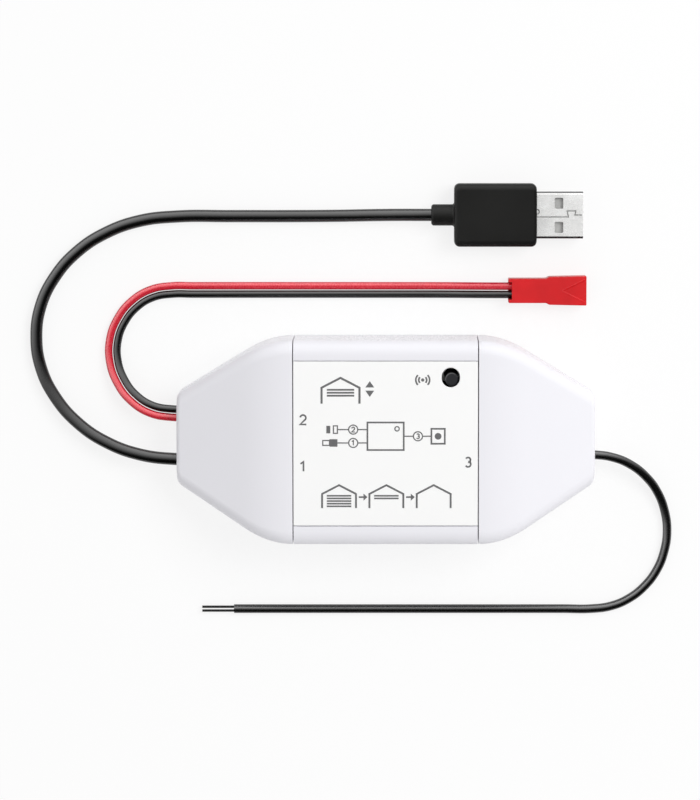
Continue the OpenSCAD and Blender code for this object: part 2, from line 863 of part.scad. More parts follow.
module usb_insulator() {
    inner_w = usb_size[0] - 2 * usb_t - slip;
    top = plug_z + usb_size[1] / 2 - usb_t - slip / 2;
    low = plug_z - usb_size[1] / 2 + usb_t + slip / 2;
    half = inner_w / 2 - usb_r / 2;
    x0 = usb_x - usb_held + slip;
    color("gainsboro") difference() {
        union() {
            span([x0, plug_y - half, top - tongue_t], [usb_tip - tongue_end, plug_y + half, top]);
            span([x0, plug_y - half, low], [x0 + tongue_block, plug_y + half, top]);
        }
        for (s = [-1, 1])
            translate([window_x, plug_y + s * window_y, top - pocket_depth])
                linear_extrude(pocket_depth + cut)
                    rounded_plate(window_size[0], window_size[1], window_r);
    }
}

module usb_contacts() {
    top = plug_z + usb_size[1] / 2 - usb_t - slip / 2 - tongue_t;
    x0 = usb_x - usb_held + slip + tongue_block;
    color("gold") for (contact = contact_at)
        span([x0, plug_y + contact[0] - contact_w / 2, top - contact_t],
            [usb_tip - contact[1], plug_y + contact[0] + contact_w / 2, top]);
}

// Sensor wires and their connector

module sensor_wire_red() {
    color("crimson") tube(beside(sensor_route, sensor_pitch / 2), sensor_d);
}

module sensor_wire_black() {
    color("black") tube(beside(sensor_route, -sensor_pitch / 2), sensor_d);
}

module sensor_connector() {
    rear_end = connector_x + connector_rear[0];
    half = [
        [connector_x, connector_rear[1] / 2], [rear_end, connector_rear[1] / 2],
        [rear_end + connector_step, connector_front[0] / 2], [connector_end, connector_front[1] / 2]
    ];
    outline = concat(half, [for (i = [len(half) - 1 : -1 : 0]) [half[i][0], -half[i][1]]]);
    arrow_l = connector_end - arrow_x;
    arrow_past = arrow_l + cut;
    arrow_half = arrow_w / 2 * arrow_past / arrow_l;
    color("red") difference() {
        translate([0, connector_y, 0]) linear_extrude(connector_h) polygon(outline);
        span([mouth_x, connector_y - mouth_size[0] / 2, connector_z - mouth_size[1] / 2],
            [connector_end + cut, connector_y + mouth_size[0] / 2, connector_z + mouth_size[1] / 2]);
        for (s = [-1, 1]) {
            y = connector_y + s * sensor_pitch / 2;
            rod_x(connector_x - cut, wire_end_x, y, connector_z, sensor_d + 2 * cord_slip);
            rod_x(contact_x[0], mouth_x + cut, y, connector_z, contact_d + slip);
        }
        span([connector_x - cut, connector_y - notch_w / 2, connector_z],
            [notch_x, connector_y + notch_w / 2, connector_h + cut]);
        translate([arrow_x, connector_y, connector_h]) rotate([0, arrow_tilt, 0]) linear_extrude(cut)
            polygon([[0, 0], [arrow_past, -arrow_half], [arrow_past, arrow_half]]);
    }
}

module sensor_contacts() {
    color("silver") for (s = [-1, 1])
        rod_x(contact_x[0], contact_x[1], connector_y + s * sensor_pitch / 2, connector_z, contact_d);
}

// Signal cable with its two free cores

module signal_cable() {
    color("black") tube(signal_route, signal_d);
}

module signal_cores() {
    free_end = signal_route[len(signal_route) - 1];
    color("black") for (s = [-1, 1])
        rod_x(core_end_x, free_end[0], free_end[1] + s * core_gap / 2, free_end[2], core_d);
}

rear_base();
front_cover();
label_panel();
left_cap();
right_cap();
cap_screws();
button_guide();
circuit_board();
board_screws();
wifi_board();
wifi_shield();
wifi_antenna();
relay_body();
relay_leads();
regulator_body();
regulator_leads();
capacitor_cans();
capacitor_bases();
status_led();
smd_resistors();
smd_capacitors();
switch_base();
switch_frame();
switch_dome();
switch_terminals();
push_button();
board_headers();
header_pins();
lead_plugs();
left_cord_clamp();
right_cord_clamp();
clamp_screws();
power_cord();
power_cores();
usb_overmold();
usb_shell();
usb_insulator();
usb_contacts();
sensor_wire_red();
sensor_wire_black();
sensor_connector();
sensor_contacts();
signal_cable();
signal_cores();
signal_inner_cores();
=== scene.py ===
"""Garage door controller: camera, materials, softened forms, print, cords and light around the frame."""

import math

import bmesh
import bpy
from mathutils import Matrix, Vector


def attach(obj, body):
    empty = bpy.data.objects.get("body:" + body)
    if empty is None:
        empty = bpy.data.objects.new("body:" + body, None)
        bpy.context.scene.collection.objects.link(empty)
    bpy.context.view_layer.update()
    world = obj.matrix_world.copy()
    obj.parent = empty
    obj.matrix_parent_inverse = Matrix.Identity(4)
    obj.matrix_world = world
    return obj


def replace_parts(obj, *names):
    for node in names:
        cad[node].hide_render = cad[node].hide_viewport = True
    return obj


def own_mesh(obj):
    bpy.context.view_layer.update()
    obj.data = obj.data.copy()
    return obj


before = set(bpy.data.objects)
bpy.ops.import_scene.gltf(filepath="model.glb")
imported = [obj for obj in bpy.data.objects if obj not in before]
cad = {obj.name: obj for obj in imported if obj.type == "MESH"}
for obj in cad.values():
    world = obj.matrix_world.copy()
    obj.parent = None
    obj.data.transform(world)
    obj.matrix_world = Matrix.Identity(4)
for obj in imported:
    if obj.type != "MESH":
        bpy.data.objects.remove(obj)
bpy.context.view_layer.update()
scene = bpy.context.scene
scene.view_settings.view_transform = "Standard"

MM = 0.001
HOUSING = "housing"
BUTTON = "button"


def mm(*values):
    """A point or size given in millimetres."""
    return Vector(values) * MM


# Camera: above the front face, right of the picture's middle and leaning towards the upper long side

LOOK_AT = mm(-9.3, 8.93, 0.0)
CAMERA_SIDE = mm(12.0, 0.0, 0.0)
CAMERA_DISTANCE = 1.0
CAMERA_TILT = math.radians(5.0)
CAMERA_LENS = 173.4
CAMERA_SENSOR = 36.0

camera_data = bpy.data.cameras.new("camera")
camera_data.lens = CAMERA_LENS
camera_data.sensor_width = CAMERA_SENSOR
camera_data.shift_x = -CAMERA_SIDE.x / CAMERA_DISTANCE * CAMERA_LENS / CAMERA_SENSOR
camera = bpy.data.objects.new("camera", camera_data)
camera.location = (LOOK_AT + CAMERA_SIDE
                   + CAMERA_DISTANCE * Vector((0, math.sin(CAMERA_TILT), math.cos(CAMERA_TILT))))
camera.rotation_euler = (-CAMERA_TILT, 0, 0)
scene.collection.objects.link(camera)
scene.camera = camera


# Materials


class Shader:
    """A Principled material whose nodes are laid out from object coordinates."""

    def __init__(self, name, roughness, metallic=0.0, specular=0.5):
        self.material = bpy.data.materials.new(name)
        self.material.use_nodes = True
        self.nodes = self.material.node_tree.nodes
        self.links = self.material.node_tree.links
        self.bsdf = self.nodes["Principled BSDF"]
        self.bsdf.inputs["Roughness"].default_value = roughness
        self.bsdf.inputs["Metallic"].default_value = metallic
        self.bsdf.inputs["Specular IOR Level"].default_value = specular
        self.coordinates = self.nodes.new("ShaderNodeTexCoord")

    def noise(self, size, detail=2.0, stretch=(1, 1, 1)):
        """Noise whose features are about size metres, drawn out along an axis where stretch is small."""
        mapping = self.nodes.new("ShaderNodeMapping")
        mapping.inputs["Scale"].default_value = stretch
        self.links.new(self.coordinates.outputs["Object"], mapping.inputs["Vector"])
        texture = self.nodes.new("ShaderNodeTexNoise")
        texture.inputs["Scale"].default_value = 1 / size
        texture.inputs["Detail"].default_value = detail
        self.links.new(mapping.outputs["Vector"], texture.inputs["Vector"])
        return texture.outputs["Fac"]

    def spread(self, factor, low, high, start=0.3, end=0.7):
        """Maps a range of a factor, by default the middle of a noise, to a range of values."""
        node = self.nodes.new("ShaderNodeMapRange")
        node.inputs["From Min"].default_value = start
        node.inputs["From Max"].default_value = end
        node.inputs["To Min"].default_value = low
        node.inputs["To Max"].default_value = high
        self.links.new(factor, node.inputs["Value"])
        return node.outputs["Result"]

    def math(self, operation, first, second=None):
        node = self.nodes.new("ShaderNodeMath")
        node.operation = operation
        self.links.new(first, node.inputs[0])
        if second is not None:
            self.links.new(second, node.inputs[1])
        return node.outputs["Value"]

    def axis(self, source, name):
        """One axis of the object coordinates or of the normal."""
        node = self.nodes.new("ShaderNodeSeparateXYZ")
        self.links.new(self.coordinates.outputs[source], node.inputs["Vector"])
        return node.outputs[name]

    def colour(self, factor, dark, light, start=0.3, end=0.7):
        ramp = self.nodes.new("ShaderNodeValToRGB")
        ramp.color_ramp.elements[0].position = start
        ramp.color_ramp.elements[1].position = end
        ramp.color_ramp.elements[0].color = (*dark, 1)
        ramp.color_ramp.elements[1].color = (*light, 1)
        self.links.new(factor, ramp.inputs["Fac"])
        self.links.new(ramp.outputs["Color"], self.bsdf.inputs["Base Color"])

    def roughness(self, factor, low, high):
        self.links.new(self.spread(factor, low, high), self.bsdf.inputs["Roughness"])

    def bump(self, factor, depth):
        node = self.nodes.new("ShaderNodeBump")
        node.inputs["Distance"].default_value = depth
        node.inputs["Strength"].default_value = 1.0
        self.links.new(factor, node.inputs["Height"])
        self.links.new(node.outputs["Normal"], self.bsdf.inputs["Normal"])


GRAIN_SIZE = 0.0003
GRAIN_DEPTH = 0.000008
ROUGHNESS_SPREAD = 0.04


def moulded(name, colour, roughness, specular=0.5, mottle=0.03, mottle_size=0.012, grain_size=GRAIN_SIZE,
            grain_depth=GRAIN_DEPTH):
    """Moulded plastic or rubber: faint cloudy colour and a fine even grain."""
    shader = Shader(name, roughness, specular=specular)
    cloud = shader.noise(mottle_size)
    grain = shader.noise(grain_size)
    shader.colour(cloud, [c * (1 - mottle) for c in colour], [min(c * (1 + mottle), 1) for c in colour])
    shader.roughness(grain, roughness - ROUGHNESS_SPREAD, roughness + ROUGHNESS_SPREAD)
    shader.bump(grain, grain_depth)
    return shader.material


STREAK_SIZE = 0.0004
STREAK_DEPTH = 0.000003
STREAK_SHADE = 0.94
STREAK_ROUGHNESS = (-0.06, 0.08)


def metal(name, colour, roughness, stretch=(1, 1, 1)):
    """Plated or drawn metal: streaks along the axis where stretch is small."""
    shader = Shader(name, roughness, metallic=1.0)
    streak = shader.noise(STREAK_SIZE, stretch=stretch)
    shader.colour(streak, [c * STREAK_SHADE for c in colour], colour)
    shader.roughness(streak, roughness + STREAK_ROUGHNESS[0], roughness + STREAK_ROUGHNESS[1])
    shader.bump(streak, STREAK_DEPTH)
    return shader.material


USB_X = 38.8
USB_TIP = 50.7
SHELL_TIP_LIGHT = (0.8, 1.0)
SHELL_SIDE_SHADE = (0.93, 0.998)
SHELL_CLOUD = 0.08
SHELL_CLOUD_SIZE = 0.004
SHELL_CLOUD_DETAIL = 3.0
SHELL_GRAIN_SIZE = 0.0006
SHELL_GRAIN_STRETCH = (0.3, 1, 1)
SHELL_GRAIN_DEPTH = 0.0000008
SHELL_ROUGHNESS = (0.22, 0.3)


def plug_steel(name, shaded_colour, lit_colour):
    """Plug sheet: painted shade on upright faces; cloudy flat faces with a painted reflection, lighter to the
    tip.
    """
    shader = Shader(name, SHELL_ROUGHNESS[1], metallic=1.0)
    # Painted shade: faces that lean away from flat take the dark colour
    facing = shader.math("ABSOLUTE", shader.axis("Normal", "Z"))
    flat = shader.spread(facing, 0.0, 1.0, *SHELL_SIDE_SHADE)
    # Painted reflection: flat faces are painted lighter from the grip to the tip
    along = shader.spread(shader.axis("Object", "X"), *SHELL_TIP_LIGHT, USB_X * MM, USB_TIP * MM)
    cloud = shader.spread(shader.noise(SHELL_CLOUD_SIZE, SHELL_CLOUD_DETAIL), -SHELL_CLOUD, SHELL_CLOUD)
    level = shader.math("MULTIPLY", shader.math("ADD", along, cloud), flat)
    shader.colour(level, shaded_colour, lit_colour, 0.0, 1.0)
    grain = shader.noise(SHELL_GRAIN_SIZE, stretch=SHELL_GRAIN_STRETCH)
    shader.roughness(grain, *SHELL_ROUGHNESS)
    shader.bump(grain, SHELL_GRAIN_DEPTH)
    return shader.material


BUTTON_SPECULAR = 0.45
BUTTON_EDGE = (0.0, 0.5)


def button_plastic(name, side, top, side_roughness, top_roughness):
    """Moulded plastic of the plunger: a smooth top, and rough sides with painted shade, darker than the top.
    """
    shader = Shader(name, top_roughness, specular=BUTTON_SPECULAR)
    facing = shader.axis("Normal", "Z")
    # Painted shade: the upright sides, down in the guide, take a darker colour than the top
    shader.colour(facing, side, top, *BUTTON_EDGE)
    dullness = shader.spread(facing, side_roughness, top_roughness, *BUTTON_EDGE)
    shader.links.new(dullness, shader.bsdf.inputs["Roughness"])
    shader.bump(shader.noise(GRAIN_SIZE), GRAIN_DEPTH)
    return shader.material


HOUSING_WHITE = moulded("housing_white", (0.865, 0.860, 0.902), 0.28, 0.06, mottle=0.006, mottle_size=0.03)
PANEL_WHITE = moulded("panel_white", (0.965, 0.965, 0.96), 0.36, mottle=0.004, grain_size=0.0008,
                      grain_depth=0.000003)
PRINT_GREY = moulded("print_grey", (0.13, 0.13, 0.133), 0.5, 0.3, mottle=0.06, mottle_size=0.002)
GUIDE_BLACK = moulded("guide_black", (0.004, 0.004, 0.004), 0.6, 0.0)
# Plunger: a painted shade colour for its sides, its own colour for its top
BUTTON_GREY = button_plastic("button_grey", (0.003, 0.003, 0.003), (0.005, 0.005, 0.0075), 0.85, 0.22)
CORD_BLACK = moulded("cord_black", (0.003, 0.003, 0.003), 0.22, 0.45, mottle=0.2, mottle_size=0.006)
CABLE_BLACK = moulded("cable_black", (0.003, 0.003, 0.003), 0.26, 0.8, mottle=0.2, mottle_size=0.006)
CORE_BLACK = moulded("core_black", (0.004, 0.004, 0.004), 0.4, 0.15, mottle=0.1, mottle_size=0.003)
CORD_RED = moulded("cord_red", (0.64, 0.009, 0.029), 0.28, 0.7, mottle=0.05, mottle_size=0.006)
GRIP_BLACK = moulded("grip_black", (0.009, 0.009, 0.0085), 0.45, 0.1, mottle=0.15, grain_size=0.0005,
                     grain_depth=0.00001)
CONNECTOR_RED = moulded("connector_red", (0.65, 0.009, 0.013), 0.36, 0.22, mottle=0.12, mottle_size=0.009)
CHIP_BLACK = moulded("chip_black", (0.02, 0.02, 0.021), 0.6)
CLAMP_GREY = moulded("clamp_grey", (0.06, 0.06, 0.062), 0.5)
NATURAL_PLASTIC = moulded("natural_plastic", (0.72, 0.70, 0.63), 0.45)
INSULATOR_GREY = moulded("insulator_grey", (0.5, 0.5, 0.49), 0.5, 0.3, mottle=0.1, mottle_size=0.002)
CERAMIC_TAN = moulded("ceramic_tan", (0.40, 0.27, 0.15), 0.5, mottle=0.08, mottle_size=0.0008)
BOARD_GREEN = moulded("board_green", (0.012, 0.10, 0.04), 0.35, mottle=0.25, mottle_size=0.003)
BOARD_BLUE = moulded("board_blue", (0.01, 0.02, 0.09), 0.35, mottle=0.25, mottle_size=0.003)
# Shell: a dark colour for the painted shade on upright faces, then the lit metal colour
SHELL_STEEL = plug_steel("shell_steel", (0.08, 0.08, 0.08), (0.96, 0.96, 0.95))
SCREW_STEEL = metal("screw_steel", (0.62, 0.62, 0.62), 0.3)
TINNED = metal("tinned", (0.72, 0.72, 0.70), 0.35)
GOLD_PLATE = metal("gold_plate", (0.83, 0.60, 0.22), 0.25)
CAN_ALUMINIUM = metal("can_aluminium", (0.76, 0.76, 0.77), 0.3, stretch=(1, 1, 0.05))

CAD_LOOKS = {
    HOUSING_WHITE: ["rear_base", "front_cover", "left_cap", "right_cap"],
    PANEL_WHITE: ["label_panel"],
    GUIDE_BLACK: ["button_guide"],
    BUTTON_GREY: ["push_button"],
    CORE_BLACK: ["signal_cores"],
    GRIP_BLACK: ["usb_overmold"],
    CONNECTOR_RED: ["sensor_connector"],
    CHIP_BLACK: ["relay_body", "regulator_body", "capacitor_bases", "switch_base", "smd_resistors"],
    CLAMP_GREY: ["left_cord_clamp", "right_cord_clamp"],
    NATURAL_PLASTIC: ["board_headers", "lead_plugs", "status_led"],
    INSULATOR_GREY: ["usb_insulator"],
    CERAMIC_TAN: ["smd_capacitors"],
    BOARD_GREEN: ["circuit_board"],
    BOARD_BLUE: ["wifi_board"],
    SHELL_STEEL: ["usb_shell"],
    SCREW_STEEL: ["cap_screws", "board_screws", "clamp_screws"],
    TINNED: ["wifi_shield", "switch_frame", "switch_dome", "relay_leads", "regulator_leads",
             "switch_terminals", "sensor_contacts"],
    GOLD_PLATE: ["header_pins", "usb_contacts", "wifi_antenna"],
    CAN_ALUMINIUM: ["capacitor_cans"],
}
for look, names in CAD_LOOKS.items():
    for name in names:
        cad[name].data.materials.clear()
        cad[name].data.materials.append(look)


# Mesh helpers: points are given in millimetres

SHARP_ANGLE = math.radians(35)
ROD_SIDES = 48
SOFT_STEPS = 3


def mesh_object(name, points, faces):
    """A closed mesh with its faces turned outwards."""
    mesh = bpy.data.meshes.new(name)
    mesh.from_pydata([mm(*p) for p in points], [], faces)
    shape = bmesh.new()
    shape.from_mesh(mesh)
    bmesh.ops.recalc_face_normals(shape, faces=shape.faces[:])
    shape.to_mesh(mesh)
    shape.free()
    made = bpy.data.objects.new(name, mesh)
    scene.collection.objects.link(made)
    return made


def skin(rings):
    """Points and faces of a closed skin over rings that all have the same number of points."""
    n = len(rings[0])
    last = len(rings) - 1
    sides = [(i * n + k, i * n + (k + 1) % n, (i + 1) * n + (k + 1) % n, (i + 1) * n + k)
             for i in range(last) for k in range(n)]
    ends = [tuple(range(n)), tuple(last * n + k for k in range(n))]
    return [p for ring in rings for p in ring], sides + ends


def soft_prism(name, outline, low, top, radius):
    """An upright prism over an outline in X and Y, with all its edges rounded."""
    made = mesh_object(name, *skin([[(x, y, z) for x, y in outline] for z in (low, top)]))
    shape = bmesh.new()
    shape.from_mesh(made.data)
    bmesh.ops.bevel(shape, geom=shape.edges[:], offset=radius * MM, segments=SOFT_STEPS, profile=0.5,
                    affect="EDGES")
    shape.to_mesh(made.data)
    shape.free()
    return made


def lathe(name, profile, place):
    """A turned solid: the profile gives distance along the axis and radius, place puts a point in space."""
    turns = [2 * math.pi * k / ROD_SIDES for k in range(ROD_SIDES)]
    rings = [[place(a, r * math.cos(t), r * math.sin(t)) for t in turns] for a, r in profile]
    return mesh_object(name, *skin(rings))


def rod(start, end, d0, d1=None):
    """A round tool between two points, tapered where two diameters are given."""
    start = Vector(start)
    run = Vector(end) - start
    frame_axes = run.to_track_quat("Z", "Y").to_matrix()

    def place(a, u, v):
        return start + frame_axes @ Vector((u, v, a))

    return lathe("tool", [(0, d0 / 2), (run.length, (d0 if d1 is None else d1) / 2)], place)


def box(a, b):
    """A box tool between two corners."""
    (x0, x1), (y0, y1), (z0, z1) = (sorted(pair) for pair in zip(a, b))
    outline = [(x0, y0), (x1, y0), (x1, y1), (x0, y1)]
    return mesh_object("tool", *skin([[(x, y, z) for x, y in outline] for z in (z0, z1)]))


def carve(piece, tools, operation="DIFFERENCE"):
    """Cuts the tools away from a piece, or adds them to it, and removes the tools."""
    for tool in tools:
        cut = piece.modifiers.new("carve", "BOOLEAN")
        cut.operation = operation
        cut.solver = "EXACT"
        cut.object = tool
    carved = bpy.data.meshes.new_from_object(piece.evaluated_get(bpy.context.evaluated_depsgraph_get()))
    piece.modifiers.clear()
    piece.data = carved
    for tool in tools:
        bpy.data.objects.remove(tool)


def finish_piece(piece, material, nodes=(), body=HOUSING):
    """Gives a piece its material, smooth faces with sharp creases, its body and the solids it stands for."""
    mesh = piece.data
    mesh.materials.clear()
    mesh.materials.append(material)
    mesh.polygons.foreach_set("use_smooth", [True] * len(mesh.polygons))
    mesh.set_sharp_from_angle(angle=SHARP_ANGLE)
    normals = piece.modifiers.new("even_normals", "WEIGHTED_NORMAL")
    normals.keep_sharp = True
    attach(piece, body)
    if nodes:
        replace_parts(piece, *nodes)
    return piece


def end_round(v, radius):
    """Inward step of a rounded end edge at distance v from the end."""
    return 0 if v >= radius else radius - math.sqrt(radius**2 - (radius - v)**2)


def quarter(steps):
    """Shares of a quarter turn, from 0 to 1, as sines."""
    return [math.sin(math.pi / 2 * i / steps) for i in range(steps + 1)]


def even(start, end, steps):
    """Values at even steps from a start to an end."""
    return [start + (end - start) * i / steps for i in range(steps + 1)]


def rounded(half, low, top, upper, lower, steps=10):
    """Rounded rectangle in Y and Z, with one radius for the upper corners and one for the lower."""
    corners = [(half - lower, low + lower, lower, -90), (half - upper, top - upper, upper, 0),
               (upper - half, top - upper, upper, 90), (lower - half, low + lower, lower, 180)]
    return [(y + r * math.cos(math.radians(a)), z + r * math.sin(math.radians(a)))
            for y, z, r, start in corners for a in even(start, start + 90, steps)]


# End caps, denser than their solids and with softened seam edges

BODY_HALF = 26.0
BODY_T = 25.0
WALL = 2.0
FRONT_R = 3.5
BACK_R = 1.2
CORNER_MIN_R = 0.6
CAP_X = 23.625
CAP_L = 30.075
CAP_END_HALF = 11.5
CAP_END_T = 13.0
SHOULDER_L = 12.5
END_CORNER_R = 1.3
END_EDGE_R = 1.0
SEAM_R = 0.12
SIDE_SLOPE = (BODY_HALF - CAP_END_HALF) / (CAP_L - SHOULDER_L / 2)
FRONT_SLOPE = (BODY_T - CAP_END_T) / (CAP_L - SHOULDER_L / 2)
BODY_END = CAP_X + CAP_L
EXIT_Z = 6.5
CORD_SLIP = 0.1
MOUTH_R = 0.25
SADDLE_X = (41.5, 46.5)
SADDLE_Z = (1.0, 6.4)
CLAMP_SCREW_D = 1.7
CAP_SCREW_X = 27.5
CAP_SCREW_Y = 17.0
CAP_SCREW_D = 2.8
COUNTERBORE_D = 4.8
COUNTERBORE_DEPTH = 1.15
PAST = 1.0
SHOULDER_STEPS = 28
TAPER_STEPS = 10
END_STEPS = 8
SEAM_STEPS = 4
LEFT_SADDLE_Y = (-13, 13)
LEFT_SCREW_Y = (-11, 11)
RIGHT_SADDLE_Y = (-12.5, 3.5)
RIGHT_SCREW_Y = (-10.3, 1.2)

POWER_D = 3.2
POWER_Y = -5.8
SENSOR_D = 2.0
SENSOR_PITCH = 2.15
SENSOR_Y = 6.1
SIGNAL_D = 2.3
SIGNAL_Y = -4.7


def fall(u, slope):
    """Fall of a cap's face at distance u from the seam."""
    return slope * (u**2 / (2 * SHOULDER_L) if u < SHOULDER_L else u - SHOULDER_L / 2)


def cap_ring(side, u, inset, end_inset):
    """Section of a cap at distance u from the seam, inside its outer face by an inset."""
    v = CAP_L - u - end_inset
    in_y = inset + end_round(v, END_CORNER_R)
    in_z = inset + end_round(v, END_EDGE_R)
    section = rounded(BODY_HALF - fall(u, SIDE_SLOPE) - in_y, in_z, BODY_T - fall(u, FRONT_SLOPE) - in_z,
                      max(FRONT_R - inset, CORNER_MIN_R), max(BACK_R - inset, CORNER_MIN_R))
    return [(side * (CAP_X + u), y, z) for y, z in section]


def cap_stations(start, inset):
    """Distances from the seam: close together on the shoulder and on the rounded end."""
    end = CAP_L - inset
    return (even(start, SHOULDER_L, SHOULDER_STEPS) + even(SHOULDER_L, end - END_CORNER_R, TAPER_STEPS)[1:]
            + [end - END_CORNER_R * (1 - s) for s in quarter(END_STEPS)[1:]])


def end_cap(name, side, cords, saddle_y, screw_y):
    """A cap with its cord holes, screw holes and the lower half of the cord clamp."""
    inner = [cap_ring(side, u, WALL, WALL) for u in reversed(cap_stations(0, WALL))]
    seam = [cap_ring(side, SEAM_R * (1 - math.sqrt(1 - s**2)), SEAM_R * (1 - s), 0)
            for s in quarter(SEAM_STEPS)]
    outer = [cap_ring(side, u, 0, 0) for u in cap_stations(SEAM_R, 0)[1:]]
    cap = mesh_object(name, *skin(inner + seam + outer))
    saddle = box((side * SADDLE_X[0], saddle_y[0], SADDLE_Z[0]),
                 (side * SADDLE_X[1], saddle_y[1], SADDLE_Z[1]))
    carve(cap, [saddle], "UNION")
    tools = []
    for y, d in cords:
        bore = d + 2 * CORD_SLIP
        tools.append(rod((side * (SADDLE_X[0] - PAST), y, EXIT_Z),
                         (side * (BODY_END + PAST), y, EXIT_Z), bore))
        tools.append(rod((side * (BODY_END - MOUTH_R), y, EXIT_Z), (side * (BODY_END + MOUTH_R), y, EXIT_Z),
                         bore, bore + 4 * MOUTH_R))
    for y in screw_y:
        x = side * sum(SADDLE_X) / 2
        tools.append(rod((x, y, WALL), (x, y, SADDLE_Z[1] + PAST), CLAMP_SCREW_D))
    for y in (-CAP_SCREW_Y, CAP_SCREW_Y):
        x = side * CAP_SCREW_X
        tools.append(rod((x, y, -PAST), (x, y, WALL + PAST), CAP_SCREW_D))
        tools.append(rod((x, y, -PAST), (x, y, COUNTERBORE_DEPTH), COUNTERBORE_D))
    carve(cap, tools)
    return finish_piece(cap, HOUSING_WHITE, [name.replace("_shell", "")])


sensor_ys = [SENSOR_Y - SENSOR_PITCH / 2, SENSOR_Y + SENSOR_PITCH / 2]
left_cords = [(POWER_Y, POWER_D)] + [(y, SENSOR_D) for y in sensor_ys]
end_cap("left_cap_shell", -1, left_cords, LEFT_SADDLE_Y, LEFT_SCREW_Y)
end_cap("right_cap_shell", 1, [(SIGNAL_Y, SIGNAL_D)], RIGHT_SADDLE_Y, RIGHT_SCREW_Y)


# Label panel, push button and the switch's snap dome

MID_X = 23.375
PANEL_HALF = 20.875
PANEL_T = 0.8
PANEL_R = 0.12
HOLE_AT = (16.5, 16.8)
HOLE_W = 4.6
HOLE_L = 5.0
PLUNGER_AT = (16.75, 16.35)
PLUNGER_R = 1.7
PLUNGER_TOP = 24.9
PLUNGER_ROUND = 0.3
PLUNGER_STEPS = 6
FLANGE_R = 2.25
FLANGE_Z = (10.1, 10.7)
NUB_R = 0.7
NUB_LOW = 9.27
DOME_R = 2.2
DOME_H = 0.6
DOME_T = 0.1
DOME_LOW = 8.65
DOME_CENTRE = 0.05
DOME_STEPS = 10


def hole_ring(z, growth):
    """Outline of the button's hole, wider all round by a growth."""
    radius = HOLE_W / 2 + growth
    rise = (HOLE_L - HOLE_W) / 2
    halves = [(90, rise), (-90, -rise)]
    return [(HOLE_AT[0] + radius * math.sin(math.radians(a)),
             HOLE_AT[1] + shift + radius * math.cos(math.radians(a)), z)
            for turn, shift in halves for a in even(turn - 180, turn, ROD_SIDES // 2)]


def on_button_axis(a, u, v):
    """Place of a turned point round the button's axis."""
    return PLUNGER_AT[0] + u, PLUNGER_AT[1] + v, a


def dome_rise(r):
    """Height of the switch's snap dome above its rim."""
    return DOME_H * (1 - (r / DOME_R) ** 2)


panel_outline = [(-MID_X, -PANEL_HALF), (MID_X, -PANEL_HALF), (MID_X, PANEL_HALF), (-MID_X, PANEL_HALF)]
panel = soft_prism("panel_plate", panel_outline, BODY_T - PANEL_T, BODY_T, PANEL_R)
hole_rings = [hole_ring(BODY_T - PANEL_T - PAST, 0), hole_ring(BODY_T - PANEL_R, 0),
              hole_ring(BODY_T + PANEL_R, 2 * PANEL_R)]
carve(panel, [mesh_object("tool", *skin(hole_rings))])
finish_piece(panel, PANEL_WHITE, ["label_panel"])

plunger_edge = [(PLUNGER_TOP - PLUNGER_ROUND * (1 - s), PLUNGER_R - PLUNGER_ROUND * (1 - math.sqrt(1 - s**2)))
                for s in quarter(PLUNGER_STEPS)]
plunger_foot = [(NUB_LOW, NUB_R), (FLANGE_Z[0], NUB_R), (FLANGE_Z[0], FLANGE_R), (FLANGE_Z[1], FLANGE_R),
                (FLANGE_Z[1], PLUNGER_R)]
plunger = lathe("plunger", plunger_foot + plunger_edge, on_button_axis)
finish_piece(plunger, BUTTON_GREY, ["push_button"], BUTTON)

dome_radii = even(DOME_CENTRE, DOME_R, DOME_STEPS)
dome_upper = [(DOME_LOW + max(dome_rise(r), DOME_T), r) for r in dome_radii]
dome_lower = [(DOME_LOW + max(dome_rise(r) - DOME_T, 0), r) for r in reversed(dome_radii)]
snap_dome = lathe("snap_dome", dome_upper + dome_lower, on_button_axis)
finish_piece(snap_dome, TINNED, ["switch_dome"])
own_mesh(snap_dome)


# USB plug's grip and collar

PLUG_Y = 57.1
PLUG_Z = 4.0
COLLAR_X = 11.7
COLLAR_R = 2.75
COLLAR_EDGE = 0.7
COLLAR_FLARE = 0.6
GRIP_X = 17.6
GRIP_HALF = 8.1
GRIP_T = 8.0
GRIP_SIDE_R = 1.7
GRIP_CORNER_R = 1.4
GRIP_END_R = 0.8
GRIP_STEPS = 8
COLLAR_STEPS = 5
SHELL_HALF = (6.05, 2.3)
SHELL_R = 0.6
SHELL_HELD = 5.8


def grip_ring(x):
    """Section of the grip, drawn in near its two ends."""
    v = min(x - GRIP_X, USB_X - x)
    in_z = end_round(v, GRIP_END_R)
    section = rounded(GRIP_HALF - end_round(v, GRIP_CORNER_R), PLUG_Z - GRIP_T / 2 + in_z,
                      PLUG_Z + GRIP_T / 2 - in_z, GRIP_SIDE_R, GRIP_SIDE_R)
    return [(x, PLUG_Y + y, z) for y, z in section]


